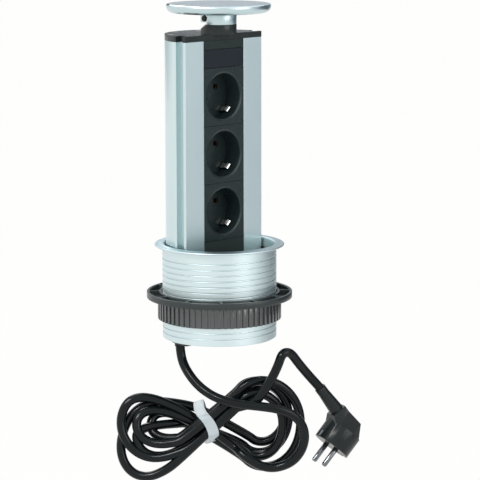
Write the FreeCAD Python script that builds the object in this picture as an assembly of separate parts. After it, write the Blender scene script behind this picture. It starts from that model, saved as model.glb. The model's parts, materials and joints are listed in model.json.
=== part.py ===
"""Pull-up desk power column with three earthed sockets.

A half-round aluminium column slides up out of a threaded barrel that is clamped in a round
worktop hole. The origin is the centre of the collar's underside, so the worktop's top face
is the plane z = 0. The socket panel faces -Y, and +Z is up.
"""
import FreeCAD
import Part
import math
import os

V = FreeCAD.Vector
UP = V(0, 0, 1)
RIGHT = V(1, 0, 0)
BACK = V(0, 1, 0)

# Clearances
fit = 0.1               # between pieces of one body that slide together on assembly
gap = 0.3               # between pieces of different bodies
screw_play = 0.05       # radial play of a screw in its threaded hole

# Barrel and collar
collar_out = 6.75       # the collar stands this far out of the barrel
collar_t = 2.0          # collar thickness
barrel_r = 49.75        # outer radius over the thread crests
barrel_wall = 1.75
barrel_len = 80.5       # barrel below the collar's underside
plain_len = 6.5         # plain stretch between collar and thread
thread_pitch = 5.0      # rise of the clamping thread per turn
thread_depth = 0.7
thread_w = 1.2          # width of one thread groove
barrel_end_land = 3.0   # plain stretch at the barrel's lower end

# Clamp ring and its knurled nut
ring_out = 13.75        # the clamp ring stands this far out of the barrel
ring_top = 40.4         # top of the ring below the collar's underside
ring_h = 5.4
ring_floor = 1.5        # web under the ring's open pockets
ring_wall = 2.4         # inner and outer wall of the ring
rib_count = 12
rib_t = 1.8
rib_turn = -43.0        # angle of the first rib about +Z
nut_wall = 4.25         # from the barrel's crests to the knurls' tops
nut_h = 18.2
knurl_count = 60
knurl_depth = 1.1
knurl_w = 2.6

# Column profile
slide_gap = 1.5         # from the barrel's bore to the column's round back
col_front = 6.3         # panel face in front of the axis
col_wall = 2.0
flank_t = 2.6           # thickness of the front flanks and of the socket panel
flank_step = 0.5        # the flanks stay this far inside the round back's radius
slot_front = 3.2        # front wall of the side slot, in front of the axis
slot_back = 5.0         # rear wall of the side slot, behind the axis
slot_depth = 6.0
col_top = 178.8
col_inset = 1.5         # the column ends this far above the barrel's lower end
ledge_w = 2.5           # rail behind the panel that the modules rest on
ledge_t = 1.6
port_r = 3.6            # screw ports in the column's back wall
port_hole_r = 1.45
port_angles = (32.4, 70.5, 109.5, 147.6)
port_depth = 15.0       # length of the screws in the ports

# Panel pieces, from the top down
panel_w = 47.8          # width of every panel piece
filler_h = 7.8
plate_h = 15.8
module_h = 50.0         # socket pitch
module_play = 0.15      # joint between two panel pieces
socket_count = 3

# Socket
recess_r = 19.9
recess_depth = 17.5
cup_wall = 1.2
rim_r = 21.7            # outer radius of the dished rim
rim_depth = 0.8
floor_t = 2.0
pin_pitch = 19.0
pin_hole_r = 2.9
pin_tilt = 45.0         # the pin holes lie on this diagonal of the panel
clip_span = 18.6        # distance of an earth clip from the socket's centre
clip_w = 5.0
clip_t = 0.8
clip_depth = 7.3        # tip of the clip behind the panel face
clip_bulge = 1.5
base_half_w = 20.8
base_half_h = 22.5
base_wall = 1.8
base_to_rod = 6.5       # from the housings' rear face to the release rod
sleeve_r = 3.4
sleeve_bore_r = 2.5
sleeve_foot = 6.2       # boss and play behind a contact sleeve
stud_r = 1.5
bar_w = 4.8
bar_t = 0.8

# Lid and neck
cap_t = 5.0             # plate of the top end cap
cap_skirt_h = 6.0
neck_r = 15.5
boss_h = 8.4            # black boss on the top end cap
neck_h = 9.8            # silver neck above the boss
lid_gap = 3.0           # from the lid's rim to the barrel's bore
lid_h = 7.5
lid_edge_r = 5.6        # rounding of the lid's lower edge
lid_top_r = 1.5         # rounding of the lid's upper edge
notch_x = 11.0          # flat of the finger notch, left of the axis
notch_front = 1.7       # front end of the notch, in front of the axis
bevel_h = 5.4           # finger bevel on the boss
bevel_a = 9.6           # start of the bevel, left of the axis as the reader sees it
bevel_gap = 1.4         # free height between the bevel and the neck's lug
lid_screw_r = 2.0
lid_screw_head_r = 3.5
lid_screw_head_h = 2.8
lid_screw_bite = 5.3    # thread length in the lid

# Release button, rod and brake
button_r = 2.45
button_y = 5.6
button_drop = 5.1       # button's centre below the lid
button_out = 1.6        # the button stands this far out of the notch's flat
button_bore_len = 1.8
button_travel = 1.5
wedge_t = 2.6
wedge_len = 3.7
rod_r = 1.5
rod_stub_r = 1.2
rod_inset = 7.0         # rod's distance from the round back's surface
rod_arm_h = 3.0
shoe_half_w = 9.5
shoe_h = 14.0
shoe_lead = 3.5         # the shoe starts this far in front of the rod's axis
shoe_wall = 1.6
shoe_travel = 0.75
brake_spring_r = 2.6
brake_spring_wall = 0.8

# Lower end cap and wiring
low_cap_t = 4.5
low_cap_step = 2.5      # the cap stays this far inside the round back's radius
low_cap_front = 4.0
upstand_h = 19.0
cheek_t = 2.5
block_half_w = 12.0
block_h = 16.0
block_inset = 9.5       # from the round back's surface to the terminal block
block_depth = 11.5
core_r = 1.3
core_step = 4.0
core_pitch = 2.8
core_inset = 2.5        # the cores enter the block this far behind its front

# Guide blocks in the barrel
guide_top = 6.0         # top of the guide below the collar's underside, clear of the lowered lid
guide_h = 24.0
guide_plate_t = 1.0
guide_plate_front = 8.5

# Cord, in the plane that faces the reader: a runs right along (1, -1), d runs towards the reader
cord_d = 8.2
cord_inset = 9.3        # from the lower end cap's edge to the cord's axis
grip_r = 4.8
grip_below = 6.5        # the grip stands this far out of the cap
waist_right = 29.2      # the hank's bundles cross this far right of the cord's exit
waist_below = 73.6      # and this far below it
hank_tilt = 4.5         # the hank's long axis rises to the right
bundle_angle = 40.0     # each bundle's angle to the long axis
strand_pitch = 8.9      # between neighbouring strands, side by side and front to back
left_r = 27.0           # middle loop of the left lobe
right_r = 26.0          # middle loop of the right lobe
loop_spread = 1.15      # growth of a loop's radius over the strand pitch
loose_extra = 2.0       # the loosest loop of the left lobe hangs this much larger
run_in = 14.0           # the hank starts this far before the waist
run_out = 14.0          # and ends this far past it
band_w = 7.5
band_t = 1.0
band_play = 0.5
band_corner_r = 5.0

# Plug
plug_right = 103.9      # centre of the plug's contact face, right of the waist
plug_below = 18.6       # and below it
plug_face_d = -4.0
plug_pin_dir = (-0.597, -0.75, 0.286)
plug_row_dir = (0.42, 0.012, 0.908)
plug_r = 17.2
plug_rim_h = 19.0
plug_body_h = 32.6      # top of the body at the neck, above the contact face
plug_back_h = 30.8      # and where its back starts to fall
plug_nose_h = 19.4
plug_pin_r = 2.4
plug_pin_len = 19.0
plug_root_r = 2.0       # thinner root of a pin, moulded into the body
plug_root_len = 7.0
plug_neck = 28.0        # height of the cord's axis above the contact face
plug_neck_out = 18.0    # the neck's end, from the middle of the contact face
relief_tilt = 11.5      # the cord leaves the plug this much away from its pins
relief_len = 27.0
relief_r = 6.2
relief_tip_r = 5.0

# Sizes that follow from the ones above
collar_r = barrel_r + collar_out
bore_r = barrel_r - barrel_wall
ring_r = barrel_r + ring_out
nut_r = barrel_r + nut_wall
col_r = bore_r - slide_gap
flank_half = col_r - flank_step
slot_floor_x = flank_half - slot_depth
col_bottom = col_inset - barrel_len
lid_r = bore_r - lid_gap
rod_x = col_r / 6
rod_y = col_r - rod_inset
shoe_front = rod_y - shoe_lead
low_cap_r = col_r - low_cap_step
block_back = col_r - block_inset
block_front = block_back - block_depth
core_y = block_front + core_inset
lid_bottom = col_top + cap_t + boss_h + neck_h
panel_back = -col_front + flank_t
cap_top = col_top + cap_t
boss_top = cap_top + boss_h
cup_floor = -col_front + recess_depth
cup_back = cup_floor + floor_t
base_back = rod_y - base_to_rod
sleeve_len = base_back - cup_back - sleeve_foot
low_top = col_bottom
filler_bottom = col_top - filler_h
plate_bottom = filler_bottom - plate_h
socket_z = [plate_bottom - module_h * (i + 0.5) for i in range(socket_count)]
blank_top = plate_bottom - module_h * socket_count
stud_end = base_back + bar_t + 0.8
button_z = lid_bottom - button_drop
cord_a = cord_inset - low_cap_r
cord_x = cord_a * math.sqrt(0.5)
cord_y = -cord_x
exit_z = low_top - low_cap_t - grip_below
waist_a = cord_a + waist_right
waist_z = exit_z - waist_below
plug_face_a = waist_a + plug_right
plug_face_z = waist_z - plug_below
bar_x = pin_pitch / 2 * math.sqrt(0.5)
port_mid = col_r - col_wall - port_r + 1.1


def box(x0, x1, y0, y1, z0, z1):
    return Part.makeBox(x1 - x0, y1 - y0, z1 - z0, V(x0, y0, z0))


def rod(r, length, base, axis=UP):
    return Part.makeCylinder(r, length, base, axis)


def tube(r_out, r_in, length, base, axis=UP):
    over = axis * 1.0
    return rod(r_out, length, base, axis).cut(rod(r_in, length + 2, base - over, axis))


def prism(points, along):
    wire = Part.makePolygon(points + [points[0]])
    return Part.Face(wire).extrude(along)


def revolve(points):
    """Solid of revolution about the Z axis from (radius, height) points."""
    wire = Part.makePolygon([V(r, 0, z) for r, z in points + [points[0]]])
    return Part.Face(wire).revolve(V(0, 0, 0), UP, 360)


def fuse(first, *others):
    return first.fuse(list(others)).removeSplitter()


def mirror_x(shape):
    return shape.mirror(V(0, 0, 0), RIGHT)


def barrel_sleeve():
    """Collar and threaded barrel in one, with annular thread grooves at the thread's pitch."""
    root = barrel_r - thread_depth
    outline = [(bore_r, -barrel_len), (barrel_r, -barrel_len)]
    turns = int((barrel_len - plain_len - barrel_end_land) / thread_pitch)
    for turn in range(turns, -1, -1):
        mid = -plain_len - thread_w - turn * thread_pitch
        outline += [(barrel_r, mid - thread_w / 2), (root, mid - thread_w / 6)]
        outline += [(root, mid + thread_w / 6), (barrel_r, mid + thread_w / 2)]
    lip = collar_t * 0.45
    outline += [(barrel_r, 0), (collar_r - lip, 0), (collar_r, lip), (collar_r - lip, collar_t - 0.2)]
    outline += [(bore_r + 1.2, collar_t), (bore_r, collar_t - 0.8)]
    return revolve(outline)


def guide(side):
    """Black runner on the bore wall that fills the column's side slot."""
    z0 = -guide_top - guide_h
    plate = tube(bore_r - screw_play, bore_r - guide_plate_t, guide_h, V(0, 0, z0))
    plate = plate.common(box(0, bore_r, -guide_plate_front, slot_back - gap, z0, -guide_top))
    tongue = box(slot_floor_x + gap, bore_r - guide_plate_t / 2, -slot_front + gap,
                 slot_back - gap, z0, -guide_top)
    block = fuse(tongue, plate)
    return block if side > 0 else mirror_x(block)


def clamp_ring():
    z1 = -ring_top
    z0 = z1 - ring_h
    inner = barrel_r + gap + 0.3
    ring = tube(ring_r, inner, ring_h, V(0, 0, z0))
    pocket_floor = z0 + ring_floor
    pocket = tube(ring_r - ring_wall, inner + ring_wall, ring_h, V(0, 0, pocket_floor))
    for i in range(rib_count):
        rib = box(inner, ring_r, -rib_t / 2, rib_t / 2, pocket_floor - 1, z1 + 1)
        rib.rotate(V(0, 0, 0), UP, rib_turn + i * 360 / rib_count)
        pocket = pocket.cut(rib)
    return ring.cut(pocket)


def ring_nut():
    z1 = -ring_top - ring_h - gap
    z0 = z1 - nut_h
    nut = tube(nut_r, barrel_r + gap, nut_h, V(0, 0, z0))
    grooves = []
    for i in range(knurl_count):
        groove = box(nut_r - knurl_depth, nut_r + 2, -knurl_w / 2, knurl_w / 2, z0 - 1, z1 + 1)
        groove.rotate(V(0, 0, 0), UP, i * 360 / knurl_count)
        grooves.append(groove)
    return nut.cut(grooves)


def column_outline(z0, z1, inset=0.0):
    """D-shaped prism of the column's outside, drawn in all round by the inset."""
    round_back = rod(col_r - inset, z1 - z0, V(0, 0, z0))
    half = flank_half - inset
    return round_back.common(box(-half, half, -col_front + inset, col_r, z0, z1))


def side_slot(z0, z1, grow=0.0):
    return box(slot_floor_x - grow, col_r + 5, -slot_front - grow, slot_back + grow, z0, z1)


def column_profile():
    """Extruded column: flanks, side slots, module rails, screw ports and round back."""
    z0, z1 = col_bottom, col_top
    outer = column_outline(z0, z1)
    cavity = rod(col_r - col_wall, z1 - z0, V(0, 0, z0))
    cavity = cavity.common(box(-col_r, col_r, panel_back, col_r, z0, z1))
    keep = [side_slot(z0, z1, col_wall), mirror_x(side_slot(z0, z1, col_wall))]
    rail = box(panel_w / 2 + fit - ledge_w, panel_w / 2 + 4, panel_back, panel_back + ledge_t, z0, z1)
    keep += [rail, mirror_x(rail)]
    keep += [rod(port_r, z1 - z0, p) for p in port_points(z0)]
    shape = outer.cut(cavity.cut(keep))
    half = panel_w / 2 + fit
    cuts = [side_slot(z0, z1), mirror_x(side_slot(z0, z1))]
    cuts.append(box(-half, half, -col_front - 1, panel_back, z0, z1))
    cuts += [rod(port_hole_r, z1 - z0 + 2, p) for p in port_points(z0 - 1)]
    window = shoe_half_w + gap
    shoe_z0 = low_top + 3
    cuts.append(box(-window, window, shoe_front, col_r + 1, shoe_z0 - gap, shoe_z0 + shoe_h + gap))
    return shape.cut(cuts).removeSplitter()


def panel_plate(z0, z1):
    """Flat panel piece between the flanks, resting on the rails."""
    half = panel_w / 2
    return box(-half, half, -col_front, panel_back, z0 + module_play, z1 - module_play)


def filler_strip():
    return panel_plate(filler_bottom, col_top)


def label_plate():
    """Bare plate, a hair behind the panel's face so that its outline reads."""
    half = panel_w / 2
    return box(-half, half, -col_front + 0.15, panel_back, plate_bottom + module_play,
               filler_bottom - module_play)


def blank_module():
    return panel_plate(col_bottom, blank_top)


def on_diagonal(distance, angle, y, z_mid):
    a = math.radians(angle)
    return V(distance * math.cos(a), y, z_mid + distance * math.sin(a))


def socket_front(z_mid):
    """Panel plate, recess cup and cup floor of one socket, moulded in one."""
    plate = panel_plate(z_mid - module_h / 2, z_mid + module_h / 2)
    front = V(0, -col_front, z_mid)
    cup = rod(recess_r + cup_wall, cup_back + col_front, front, BACK)
    recess = rod(recess_r, recess_depth, front, BACK)
    dish = Part.makeCone(rim_r, recess_r, rim_depth, front, BACK)
    body = plate.fuse(cup).cut([recess, dish])
    cuts = []
    for turn in (pin_tilt, pin_tilt + 180):
        hole_foot = on_diagonal(pin_pitch / 2, turn, cup_floor - 1, z_mid)
        cuts.append(rod(pin_hole_r, floor_t + 2, hole_foot, BACK))
        slot = box(clip_span - 1.4, recess_r, cup_floor - 1, cup_back + 1, -clip_w / 2 - 0.4,
                   clip_w / 2 + 0.4)
        slot.rotate(V(0, 0, 0), BACK, turn)
        slot.translate(V(0, 0, z_mid))
        cuts.append(slot)
    return body.cut(cuts).removeSplitter()


def socket_base(z_mid):
    """Rear housing of one socket, open to the cup, with bosses for the contacts."""
    shell = box(-base_half_w, base_half_w, cup_back, base_back, z_mid - base_half_h,
                z_mid + base_half_h)
    hollow = box(-base_half_w + base_wall, base_half_w - base_wall, cup_back - 1,
                 base_back - base_wall, z_mid - base_half_h + base_wall,
                 z_mid + base_half_h - base_wall)
    bosses = []
    holes = []
    sleeve_end = cup_back + fit + sleeve_len
    for distance, start in ((pin_pitch / 2, sleeve_end), (-pin_pitch / 2, sleeve_end),
                            (0.0, cup_back + fit + clip_t)):
        foot = on_diagonal(distance, pin_tilt, start, z_mid)
        bosses.append(rod(sleeve_r, base_back - start, foot, BACK))
        holes.append(rod(stud_r + fit, base_back - start + 2, foot - BACK, BACK))
    return fuse(shell.cut(hollow), *bosses).cut(holes)


def socket_contacts(z_mid):
    """Two spring sleeves behind the pin holes, each with a riveting stud."""
    start = cup_back + fit
    pieces = []
    for turn in (pin_tilt, pin_tilt + 180):
        foot = on_diagonal(pin_pitch / 2, turn, start, z_mid)
        sleeve = tube(sleeve_r, sleeve_bore_r, sleeve_len - 2, foot, BACK)
        heel = rod(sleeve_r, 2, foot + BACK * (sleeve_len - 2), BACK)
        stud = rod(stud_r, stud_end - start - sleeve_len, foot + BACK * sleeve_len, BACK)
        pieces.append(fuse(sleeve, heel, stud))
    return Part.makeCompound(pieces)


def earth_clip(z_mid):
    """Earth stirrup: a strip behind the cup floor with two bowed arms in the recess."""
    strip_y = cup_back + fit
    tip = -col_front + clip_depth
    edge = clip_span
    outline = [V(-edge, strip_y + clip_t, 0), V(edge, strip_y + clip_t, 0), V(edge, tip + 5, 0),
               V(edge - clip_bulge, tip + 2.4, 0), V(edge - 0.3, tip, 0),
               V(edge - 0.3 - clip_t, tip + 0.4, 0), V(edge - clip_bulge - clip_t, tip + 2.4, 0),
               V(edge - clip_t, tip + 5.2, 0), V(edge - clip_t, strip_y, 0)]
    outline += [V(-p.x, p.y, 0) for p in reversed(outline[2:])]
    strap = prism(outline, V(0, 0, clip_w))
    strap.translate(V(0, 0, -clip_w / 2))
    strap.rotate(V(0, 0, 0), BACK, pin_tilt)
    strap.translate(V(0, 0, z_mid))
    stud = rod(stud_r, stud_end - strip_y - clip_t / 2, V(0, strip_y + clip_t / 2, z_mid), BACK)
    return fuse(strap, stud)


def bus_bar(x, row):
    """Flat bar riveted to one contact of each socket, down to the terminal block."""
    z0 = low_top + upstand_h + block_h - 3
    offset = pin_pitch / 2 * math.sin(math.radians(pin_tilt)) * row
    z1 = socket_z[0] + offset + 4
    bar = box(x - bar_w / 2, x + bar_w / 2, base_back, base_back + bar_t, z0, z1)
    holes = [rod(stud_r + fit, 4, V(x, base_back - 1, z + offset), BACK) for z in socket_z]
    return bar.cut(holes)


def port_points(z):
    turns = [math.radians(a) for a in port_angles]
    return [V(port_mid * math.cos(a), port_mid * math.sin(a), z) for a in turns]


def notch(z0, z1):
    """Space of the finger notch on the left of the neck."""
    return box(-neck_r - 2, -notch_x, -notch_front, neck_r + 2, z0, z1)


def top_end_cap():
    """Black cap: plate, skirt inside the profile and boss under the lid's neck."""
    plate = column_outline(col_top, cap_top)
    plate = plate.cut([side_slot(col_top, cap_top), mirror_x(side_slot(col_top, cap_top))])
    skirt_r = col_r - col_wall - gap
    skirt_x = slot_floor_x - col_wall - gap
    skirt_z = col_top - cap_skirt_h
    skirt_y = panel_back + ledge_t + gap
    skirt = tube(skirt_r, skirt_r - 2, cap_skirt_h, V(0, 0, skirt_z))
    skirt = skirt.common(box(-skirt_x, skirt_x, skirt_y, skirt_r, skirt_z, col_top))
    ports = [rod(port_r + gap, cap_skirt_h, p) for p in port_points(skirt_z)]
    boss = rod(neck_r, boss_h, V(0, 0, cap_top))
    bevel = reader_prism([(-bevel_a, boss_top + 0.1), (-bevel_a, boss_top),
                          (-neck_r - 1, boss_top - bevel_h), (-neck_r - 1, boss_top + 0.1)])
    cuts = [bevel, rod(lid_screw_r + fit, 40, V(0, 0, skirt_z - 1))]
    cuts.append(rod(rod_stub_r + gap, 40, V(-rod_x, button_y, skirt_z)))
    for p in port_points(col_top):
        cuts.append(rod(port_hole_r + 0.25, cap_t + 2, p - UP))
        cuts.append(rod(3.1, 2.1, p + UP * (cap_t - 2)))
    return fuse(plate, skirt.cut(ports), boss).cut(cuts).removeSplitter()


def cap_screw(at, head_up):
    """One countersunk-style screw, its head flush with the cap's outer face."""
    way = UP if head_up else UP * -1
    head = rod(3.0, 2.0, at - way * 2, way)
    shank = rod(port_hole_r - screw_play, port_depth, at - way * (port_depth + 1.9), way)
    return fuse(head, shank)


def lid_neck():
    neck = rod(neck_r, neck_h, V(0, 0, boss_top))
    cuts = [notch(boss_top - 1, lid_bottom), rod(lid_screw_r + fit, 40, V(0, 0, boss_top - 2))]
    lug_z = boss_top + bevel_gap
    cuts.append(reader_prism([(-bevel_a, boss_top - 1), (-bevel_a, lug_z), (-neck_r - 2, lug_z),
                              (-neck_r - 2, boss_top - 1)]))
    bore = button_r + gap
    cuts.append(rod(bore, button_bore_len, V(-notch_x, button_y, button_z), RIGHT))
    chamber_x = -notch_x + button_bore_len
    cuts.append(box(chamber_x - 0.6, chamber_x + wedge_len + button_travel + 0.3,
                    button_y - wedge_t / 2 - gap, button_y + wedge_t / 2 + gap,
                    boss_top - 1, button_z + wedge_t / 2 + gap))
    neck = neck.cut(cuts)
    lug = box(-neck_r + 0.1, -notch_x + 0.5, -notch_front, button_y + 5.4, lug_z, lid_bottom)
    lug = lug.common(rod(neck_r, neck_h, V(0, 0, boss_top)))
    lug = lug.cut(box(-neck_r - 1, -notch_x - 0.6, -notch_front - 1, neck_r, lug_z - 1, lid_bottom + 1))
    lug = lug.cut(rod(bore, 10, V(-neck_r - 2, button_y, button_z), RIGHT))
    return fuse(neck, lug)


def lid_disc():
    """Flat round lid with a deep rounding below and a small one above."""
    z0 = lid_bottom
    z1 = z0 + lid_h
    low_mid = V(lid_r - lid_edge_r, 0, z0 + lid_edge_r)
    top_mid = V(lid_r - lid_top_r, 0, z1 - lid_top_r)
    half = math.sqrt(0.5)
    p0 = V(0, 0, z0)
    p1 = V(lid_r - lid_edge_r, 0, z0)
    p2 = V(lid_r, 0, z0 + lid_edge_r)
    p3 = V(lid_r, 0, z1 - lid_top_r)
    p4 = V(lid_r - lid_top_r, 0, z1)
    p5 = V(0, 0, z1)
    low_arc = Part.Arc(p1, low_mid + V(half, 0, -half) * lid_edge_r, p2)
    top_arc = Part.Arc(p3, top_mid + V(half, 0, half) * lid_top_r, p4)
    edges = [Part.LineSegment(p0, p1).toShape(), low_arc.toShape(),
             Part.LineSegment(p2, p3).toShape(), top_arc.toShape(),
             Part.LineSegment(p4, p5).toShape(), Part.LineSegment(p5, p0).toShape()]
    disc = Part.Face(Part.Wire(edges)).revolve(V(0, 0, 0), UP, 360)
    return disc.cut(rod(lid_screw_r + screw_play, lid_screw_bite + 0.3, V(0, 0, z0)))


def lid_screw():
    head_z = col_top - lid_screw_head_h
    head = rod(lid_screw_head_r, lid_screw_head_h, V(0, 0, head_z))
    shank = rod(lid_screw_r, lid_bottom + lid_screw_bite - col_top, V(0, 0, col_top))
    return fuse(head, shank)


def button_wedge_line(x):
    """Height of the button's sloping underside above a point x of the notch's plane."""
    return button_z - wedge_t / 2 + x - (-notch_x + button_bore_len)


def release_button():
    face_x = -notch_x - button_out
    cap_end = -notch_x + button_bore_len - button_travel - 0.1
    cap = rod(button_r, cap_end - face_x, V(face_x, button_y, button_z), RIGHT)
    x0 = cap_end
    top = button_z + wedge_t / 2
    y0 = button_y - wedge_t / 2
    slope_x = -notch_x + button_bore_len
    x1 = slope_x + wedge_t - 0.1
    profile = [V(x0, y0, top), V(x1, y0, top), V(x1, y0, button_wedge_line(x1)),
               V(slope_x, y0, button_wedge_line(slope_x)), V(x0, y0, button_wedge_line(slope_x))]
    return fuse(cap, prism(profile, V(0, wedge_t, 0)))


def release_rod():
    """Stub under the button, arm behind the cap's skirt and long rod down to the brake shoe."""
    arm_top = col_top - 1.8
    arm_z = arm_top - rod_arm_h
    stub = rod(rod_stub_r, button_z - arm_z, V(-rod_x, button_y, arm_z))
    low = button_wedge_line(-rod_x - 4) - gap * 1.4
    high = button_wedge_line(-rod_x + 4) - gap * 1.4
    clear = prism([V(-rod_x - 4, button_y - 4, low), V(-rod_x + 4, button_y - 4, high),
                   V(-rod_x + 4, button_y - 4, high + 12), V(-rod_x - 4, button_y - 4, high + 12)],
                  V(0, 8, 0))
    arm = box(-rod_x - rod_r, -rod_x + rod_r, button_y - rod_r, rod_y, arm_z, arm_top)
    foot = low_top + 3 + 2
    long_rod = rod(rod_r, arm_top - foot, V(-rod_x, rod_y, foot))
    return fuse(stub.cut(clear), arm, long_rod)


def brake_shoe():
    """Friction shoe that looks out of the column's back and bears on the barrel's bore."""
    z0 = low_top + 3
    shoe = box(-shoe_half_w, shoe_half_w, shoe_front, bore_r, z0, z0 + shoe_h)
    shoe = shoe.common(rod(bore_r - gap, shoe_h, V(0, 0, z0)))
    slot = box(-rod_x - rod_r - gap, -rod_x + rod_r + gap, shoe_front + shoe_wall,
               rod_y + rod_r + shoe_travel + gap, z0 - 1, z0 + shoe_h + 1)
    return shoe.cut(slot)


def brake_spring():
    mid_z = low_top + 3 + shoe_h / 2
    start = shoe_front - 3
    return tube(brake_spring_r, brake_spring_r - brake_spring_wall, 3, V(3, start, mid_z), BACK)


def lower_end_cap():
    """Black cap with the cord's hole, the shoe's cheeks and the seat of the terminal block."""
    z0 = low_top - low_cap_t
    plate = rod(low_cap_r, low_cap_t, V(0, 0, z0))
    plate = plate.common(box(-low_cap_r, low_cap_r, -low_cap_front, low_cap_r, z0, low_top))
    inner = shoe_half_w + gap
    outer = inner + cheek_t
    top = low_top + upstand_h
    foot = shoe_front - 2.5
    cheek = box(inner, outer, foot, shoe_front + 4, low_top - 1, top)
    wall = box(-2, 8, shoe_front - 5, shoe_front - 3, low_top - 1, low_top + shoe_h + 3)
    tie = box(7, outer, foot, foot + 1.5, low_top - 1, low_top + 2.5)
    cap = fuse(plate, cheek, mirror_x(cheek), wall, tie)
    cuts = [rod(grip_r + screw_play, low_cap_t + 2, V(cord_x, cord_y, z0 - 1))]
    for p in port_points(z0):
        cuts.append(rod(port_r + gap, upstand_h + 2, p + UP * low_cap_t))
        cuts.append(rod(port_hole_r + 0.25, low_cap_t + 2, p - UP))
        cuts.append(rod(3.1, 2.1, p - UP * 0.1))
    return cap.cut(cuts).removeSplitter()


def terminal_block():
    """Three-way block on the cheeks, with slots for the bars and holes for the cores."""
    z0 = low_top + upstand_h
    block = box(-block_half_w, block_half_w, block_front, block_back, z0, z0 + block_h)
    cuts = []
    for x in (-bar_x, 0, bar_x):
        cuts.append(box(x - bar_w / 2 - fit, x + bar_w / 2 + fit, base_back - fit,
                        base_back + bar_t + fit, z0 + block_h - 4, z0 + block_h + 1))
        cuts.append(rod(1.6, 6, V(x, block_front - 1, z0 + block_h / 2), BACK))
    cuts += [rod(port_r + gap, block_h + 2, p) for p in port_points(z0 - 1)]
    return block.cut(cuts)


def terminal_screws():
    z_mid = low_top + upstand_h + block_h / 2
    screws = [rod(1.5, 4.6, V(x, block_front + 0.2, z_mid), BACK) for x in (-bar_x, 0, bar_x)]
    return Part.makeCompound(screws)


def to_world(a, z, d):
    """Point of the cord's plane in the part's frame."""
    s = math.sqrt(0.5)
    return V(s * (a - d), -s * (a + d), z)


def reader_prism(points, half_depth=30.0):
    """Prism along the reader's line of sight, from (right, height) points."""
    front = [to_world(a, z, half_depth) for a, z in points]
    return prism(front, to_world(0, 0, -2 * half_depth))


def corner_arc(before, corner, after, reach):
    """Arc that rounds a corner, tangent to both runs at the given distance from it."""
    way_in = (corner - before).normalize()
    way_out = (after - corner).normalize()
    start = corner - way_in * reach
    end = corner + way_out * reach
    turn = way_in.getAngle(way_out)
    radius = reach / math.tan(turn / 2)
    to_mid = (way_out - way_in).normalize()
    centre = corner + to_mid * (radius / math.cos(turn / 2))
    return start, centre - to_mid * radius, end, radius


def route_wire(points, name):
    """Straight runs joined by arcs of 0.45 of the shorter run; prints the radii."""
    edges = []
    radii = []
    here = points[0]
    for before, corner, after in zip(points, points[1:], points[2:]):
        reach = 0.45 * min((corner - before).Length, (after - corner).Length)
        start, mid, end, radius = corner_arc(before, corner, after, reach)
        edges.append(Part.LineSegment(here, start).toShape())
        edges.append(Part.Arc(start, mid, end).toShape())
        radii.append(radius)
        here = end
    edges.append(Part.LineSegment(here, points[-1]).toShape())
    if name:
        print(name, "radii", [round(r, 1) for r in radii])
    return Part.Wire(edges)


def swept(wire, radius, start, way):
    ring = Part.Wire(Part.Circle(start, way, radius).toShape())
    return wire.makePipeShell([ring], True, False)


def cord_tube(points, radius, name=""):
    wire = route_wire(points, name)
    shape = swept(wire, radius, points[0], points[1] - points[0])
    if name:
        ideal = math.pi * radius * radius * wire.Length
        print(name, "length", round(wire.Length, 1), "volume share", round(shape.Volume / ideal, 4))
    return shape


def cord_cores():
    """Three insulated cores from the terminal block down into the cord grip."""
    z_top = low_top + upstand_h
    z_end = exit_z + grip_below + low_cap_t + 3
    pieces = []
    for i, x in enumerate((-bar_x, 0, bar_x)):
        end_x = cord_x + (i - 1) * core_pitch
        z_run = z_top - 3 - core_step * i
        points = [V(x, core_y, z_top), V(x, core_y, z_run), V(end_x, cord_y, z_run),
                  V(end_x, cord_y, z_end)]
        edges = []
        here = points[0]
        for before, corner, after in zip(points, points[1:], points[2:]):
            start, mid, end, _ = corner_arc(before, corner, after, core_r + 0.7)
            edges.append(Part.LineSegment(here, start).toShape())
            edges.append(Part.Arc(start, mid, end).toShape())
            here = end
        edges.append(Part.LineSegment(here, points[-1]).toShape())
        pieces.append(swept(Part.Wire(edges), core_r, points[0], V(0, 0, -1)))
    return Part.makeCompound(pieces)


def cord_grip():
    """Moulded grip round the cord in the lower end cap, with a flange above the cap."""
    z_top = low_top + 3
    grip = rod(grip_r, z_top - exit_z, V(cord_x, cord_y, exit_z))
    flange = rod(grip_r + 1.5, 2, V(cord_x, cord_y, low_top + gap))
    return fuse(grip, flange)


def hank_point(u, v, d):
    """Point of the hank: u along its long axis, v across it, d towards the reader."""
    t = math.radians(hank_tilt)
    a = waist_a + u * math.cos(t) - v * math.sin(t)
    z = waist_z + u * math.sin(t) + v * math.cos(t)
    return to_world(a, z, d)


def lobe(side, front_offset, rear_offset, radius):
    """Centre of a loop of the given radius that touches one front and one rear strand."""
    b = math.radians(bundle_angle)
    u = (front_offset + rear_offset + 2 * side * radius) / (2 * math.sin(b))
    v = (rear_offset - front_offset) / (2 * math.cos(b))
    return u, v


def biarc(p1, t1, p2, t2):
    """Two tangent arcs from p1 to p2 with the given directions at the ends."""
    v = p2 - p1
    t = t1 + t2
    k = 2 * (1 - t1.dot(t2))
    reach = (-v.dot(t) + math.sqrt(v.dot(t) ** 2 + k * v.dot(v))) / k
    q1 = p1 + t1 * reach
    q2 = p2 - t2 * reach
    middle = (q1 + q2) * 0.5
    edges = []
    for a, q, b in ((p1, q1, middle), (middle, q2, p2)):
        half = (a - b).Length / 2
        foot = (a + b) * 0.5
        rise = (q - foot).Length
        bend = math.atan2(rise, half)
        edges.append(Part.Arc(a, foot + (q - foot) * (math.tan(bend / 2) / math.tan(bend)), b).toShape())
    return edges


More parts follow.
